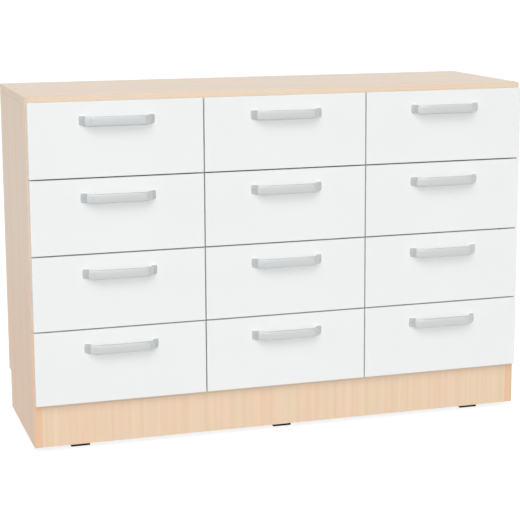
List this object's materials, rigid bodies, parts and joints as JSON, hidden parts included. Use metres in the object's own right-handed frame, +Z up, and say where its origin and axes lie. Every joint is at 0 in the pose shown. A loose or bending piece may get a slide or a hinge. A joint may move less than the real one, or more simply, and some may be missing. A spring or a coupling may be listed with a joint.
{
  "type": "chest of drawers",
  "caption": "Wide, low chest with a grid of equal overlay-front drawers on ball-bearing slides, bow handles, a plinth board and adjustable feet.",
  "frame": {"origin": "on the floor, at the centre of the overall width and depth, handles included", "axes": "+X right seen from the front, +Y back, +Z up; drawers are numbered by row from the top and column from the left"},
  "size_m": [1.2, 0.429, 0.815],
  "materials": {
    "carcass_laminate": "light maple laminate on board, satin",
    "white_laminate": "white laminate on board, satin",
    "box_laminate": "white melamine-faced board, satin",
    "back_hardboard": "light lacquered hardboard",
    "handle_metal": "satin silver",
    "slide_steel": "zinc plated",
    "black_plastic": "moulded, matt black",
    "fitting_steel": "zinc plated"
  },
  "bodies": {
    "carcass": {"top_board": "carcass_laminate", "side_panel_left": "carcass_laminate", "partition_1": "carcass_laminate", "partition_2": "carcass_laminate", "side_panel_right": "carcass_laminate", "bottom_board": "carcass_laminate", "back_panel": "back_hardboard", "plinth_board": "carcass_laminate", "cabinet_slides": "slide_steel", "leg_sockets": "black_plastic", "carcass_fittings": "fitting_steel"},
    "drawer_r1c1": {"drawer_front_r1c1": "white_laminate", "drawer_handle_r1c1": "handle_metal", "drawer_box_r1c1": "box_laminate"},
    "slide_r1c1": {"slide_middle_r1c1": "slide_steel"},
    "drawer_r1c2": {"drawer_front_r1c2": "white_laminate", "drawer_handle_r1c2": "handle_metal", "drawer_box_r1c2": "box_laminate"},
    "slide_r1c2": {"slide_middle_r1c2": "slide_steel"},
    "drawer_r1c3": {"drawer_front_r1c3": "white_laminate", "drawer_handle_r1c3": "handle_metal", "drawer_box_r1c3": "box_laminate"},
    "slide_r1c3": {"slide_middle_r1c3": "slide_steel"},
    "drawer_r2c1": {"drawer_front_r2c1": "white_laminate", "drawer_handle_r2c1": "handle_metal", "drawer_box_r2c1": "box_laminate"},
    "slide_r2c1": {"slide_middle_r2c1": "slide_steel"},
    "drawer_r2c2": {"drawer_front_r2c2": "white_laminate", "drawer_handle_r2c2": "handle_metal", "drawer_box_r2c2": "box_laminate"},
    "slide_r2c2": {"slide_middle_r2c2": "slide_steel"},
    "drawer_r2c3": {"drawer_front_r2c3": "white_laminate", "drawer_handle_r2c3": "handle_metal", "drawer_box_r2c3": "box_laminate"},
    "slide_r2c3": {"slide_middle_r2c3": "slide_steel"},
    "drawer_r3c1": {"drawer_front_r3c1": "white_laminate", "drawer_handle_r3c1": "handle_metal", "drawer_box_r3c1": "box_laminate"},
    "slide_r3c1": {"slide_middle_r3c1": "slide_steel"},
    "drawer_r3c2": {"drawer_front_r3c2": "white_laminate", "drawer_handle_r3c2": "handle_metal", "drawer_box_r3c2": "box_laminate"},
    "slide_r3c2": {"slide_middle_r3c2": "slide_steel"},
    "drawer_r3c3": {"drawer_front_r3c3": "white_laminate", "drawer_handle_r3c3": "handle_metal", "drawer_box_r3c3": "box_laminate"},
    "slide_r3c3": {"slide_middle_r3c3": "slide_steel"},
    "drawer_r4c1": {"drawer_front_r4c1": "white_laminate", "drawer_handle_r4c1": "handle_metal", "drawer_box_r4c1": "box_laminate"},
    "slide_r4c1": {"slide_middle_r4c1": "slide_steel"},
    "drawer_r4c2": {"drawer_front_r4c2": "white_laminate", "drawer_handle_r4c2": "handle_metal", "drawer_box_r4c2": "box_laminate"},
    "slide_r4c2": {"slide_middle_r4c2": "slide_steel"},
    "drawer_r4c3": {"drawer_front_r4c3": "white_laminate", "drawer_handle_r4c3": "handle_metal", "drawer_box_r4c3": "box_laminate"},
    "slide_r4c3": {"slide_middle_r4c3": "slide_steel"},
    "feet": {"levelling_feet": "black_plastic"}
  },
  "joints": [
    {"name": "drawer_r1c1_pull", "type": "slide", "parent": "carcass", "child": "drawer_r1c1", "axis": [0, -1, 0], "range_m": [0, 0.35]},
    {"name": "slide_r1c1_extend", "type": "slide", "parent": "carcass", "child": "slide_r1c1", "axis": [0, -1, 0], "range_m": [0, 0.175]},
    {"name": "drawer_r1c2_pull", "type": "slide", "parent": "carcass", "child": "drawer_r1c2", "axis": [0, -1, 0], "range_m": [0, 0.35]},
    {"name": "slide_r1c2_extend", "type": "slide", "parent": "carcass", "child": "slide_r1c2", "axis": [0, -1, 0], "range_m": [0, 0.175]},
    {"name": "drawer_r1c3_pull", "type": "slide", "parent": "carcass", "child": "drawer_r1c3", "axis": [0, -1, 0], "range_m": [0, 0.35]},
    {"name": "slide_r1c3_extend", "type": "slide", "parent": "carcass", "child": "slide_r1c3", "axis": [0, -1, 0], "range_m": [0, 0.175]},
    {"name": "drawer_r2c1_pull", "type": "slide", "parent": "carcass", "child": "drawer_r2c1", "axis": [0, -1, 0], "range_m": [0, 0.35]},
    {"name": "slide_r2c1_extend", "type": "slide", "parent": "carcass", "child": "slide_r2c1", "axis": [0, -1, 0], "range_m": [0, 0.175]},
    {"name": "drawer_r2c2_pull", "type": "slide", "parent": "carcass", "child": "drawer_r2c2", "axis": [0, -1, 0], "range_m": [0, 0.35]},
    {"name": "slide_r2c2_extend", "type": "slide", "parent": "carcass", "child": "slide_r2c2", "axis": [0, -1, 0], "range_m": [0, 0.175]},
    {"name": "drawer_r2c3_pull", "type": "slide", "parent": "carcass", "child": "drawer_r2c3", "axis": [0, -1, 0], "range_m": [0, 0.35]},
    {"name": "slide_r2c3_extend", "type": "slide", "parent": "carcass", "child": "slide_r2c3", "axis": [0, -1, 0], "range_m": [0, 0.175]},
    {"name": "drawer_r3c1_pull", "type": "slide", "parent": "carcass", "child": "drawer_r3c1", "axis": [0, -1, 0], "range_m": [0, 0.35]},
    {"name": "slide_r3c1_extend", "type": "slide", "parent": "carcass", "child": "slide_r3c1", "axis": [0, -1, 0], "range_m": [0, 0.175]},
    {"name": "drawer_r3c2_pull", "type": "slide", "parent": "carcass", "child": "drawer_r3c2", "axis": [0, -1, 0], "range_m": [0, 0.35]},
    {"name": "slide_r3c2_extend", "type": "slide", "parent": "carcass", "child": "slide_r3c2", "axis": [0, -1, 0], "range_m": [0, 0.175]},
    {"name": "drawer_r3c3_pull", "type": "slide", "parent": "carcass", "child": "drawer_r3c3", "axis": [0, -1, 0], "range_m": [0, 0.35]},
    {"name": "slide_r3c3_extend", "type": "slide", "parent": "carcass", "child": "slide_r3c3", "axis": [0, -1, 0], "range_m": [0, 0.175]},
    {"name": "drawer_r4c1_pull", "type": "slide", "parent": "carcass", "child": "drawer_r4c1", "axis": [0, -1, 0], "range_m": [0, 0.35]},
    {"name": "slide_r4c1_extend", "type": "slide", "parent": "carcass", "child": "slide_r4c1", "axis": [0, -1, 0], "range_m": [0, 0.175]},
    {"name": "drawer_r4c2_pull", "type": "slide", "parent": "carcass", "child": "drawer_r4c2", "axis": [0, -1, 0], "range_m": [0, 0.35]},
    {"name": "slide_r4c2_extend", "type": "slide", "parent": "carcass", "child": "slide_r4c2", "axis": [0, -1, 0], "range_m": [0, 0.175]},
    {"name": "drawer_r4c3_pull", "type": "slide", "parent": "carcass", "child": "drawer_r4c3", "axis": [0, -1, 0], "range_m": [0, 0.35]},
    {"name": "slide_r4c3_extend", "type": "slide", "parent": "carcass", "child": "slide_r4c3", "axis": [0, -1, 0], "range_m": [0, 0.175]},
    {"name": "feet_adjust", "type": "slide", "parent": "carcass", "child": "feet", "axis": [0, 0, -1], "range_m": [0, 0.012]}
  ],
  "couplings": [
    {"joint": "slide_r1c1_extend", "follows": "drawer_r1c1_pull", "ratio": 0.5},
    {"joint": "slide_r1c2_extend", "follows": "drawer_r1c2_pull", "ratio": 0.5},
    {"joint": "slide_r1c3_extend", "follows": "drawer_r1c3_pull", "ratio": 0.5},
    {"joint": "slide_r2c1_extend", "follows": "drawer_r2c1_pull", "ratio": 0.5},
    {"joint": "slide_r2c2_extend", "follows": "drawer_r2c2_pull", "ratio": 0.5},
    {"joint": "slide_r2c3_extend", "follows": "drawer_r2c3_pull", "ratio": 0.5},
    {"joint": "slide_r3c1_extend", "follows": "drawer_r3c1_pull", "ratio": 0.5},
    {"joint": "slide_r3c2_extend", "follows": "drawer_r3c2_pull", "ratio": 0.5},
    {"joint": "slide_r3c3_extend", "follows": "drawer_r3c3_pull", "ratio": 0.5},
    {"joint": "slide_r4c1_extend", "follows": "drawer_r4c1_pull", "ratio": 0.5},
    {"joint": "slide_r4c2_extend", "follows": "drawer_r4c2_pull", "ratio": 0.5},
    {"joint": "slide_r4c3_extend", "follows": "drawer_r4c3_pull", "ratio": 0.5}
  ]
}
